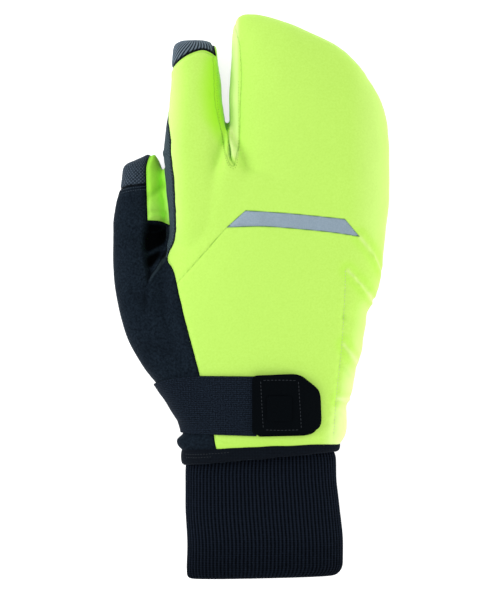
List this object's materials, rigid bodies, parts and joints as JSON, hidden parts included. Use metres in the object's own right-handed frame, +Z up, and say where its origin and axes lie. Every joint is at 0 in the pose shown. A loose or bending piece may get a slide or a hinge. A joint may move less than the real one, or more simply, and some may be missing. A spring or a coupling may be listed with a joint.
{
  "type": "trigger mitten",
  "caption": "Padded right-hand trigger mitten with a three-finger pouch, separate index finger and thumb stalls, wrist strap and ribbed knit cuff.",
  "frame": {"origin": "middle of the mitten's bounding box in plan, on the floor under the palm", "axes": "+X from the thumb towards the little finger, +Y from the cuff towards the fingertips, +Z up out of the back of the hand"},
  "size_m": [0.1436, 0.2938, 0.0495],
  "materials": {
    "softshell_neon": "matt stretch softshell cloth, neon yellow-green",
    "suede_black": "brushed synthetic suede, near black with a blue-grey bloom",
    "charcoal_knit": "charcoal stretch knit",
    "grip_knit": "grey touch knit with fine ribs or dots",
    "reflective_grey": "silver-grey reflective coated tape",
    "strap_webbing": "black ribbed elastic webbing",
    "tab_rubber": "satin black moulded rubber",
    "hem_binding": "black knitted binding",
    "rib_knit": "black rib knit"
  },
  "bodies": {
    "root": {"finger_panel": "softshell_neon", "hand_panel": "softshell_neon", "gather_panel": "softshell_neon", "fork_gusset": "softshell_neon", "reflective_strip": "reflective_grey", "index_sidewall": "charcoal_knit", "fingertip_cap": "grip_knit", "heel_wrap": "suede_black", "palm": "suede_black", "thumb": "suede_black", "thumb_back_panel": "softshell_neon", "thumb_tip_patch": "grip_knit", "hem_band": "hem_binding", "wrist_strap": "strap_webbing", "strap_tab": "tab_rubber", "knit_cuff": "rib_knit"}
  },
  "joints": []
}
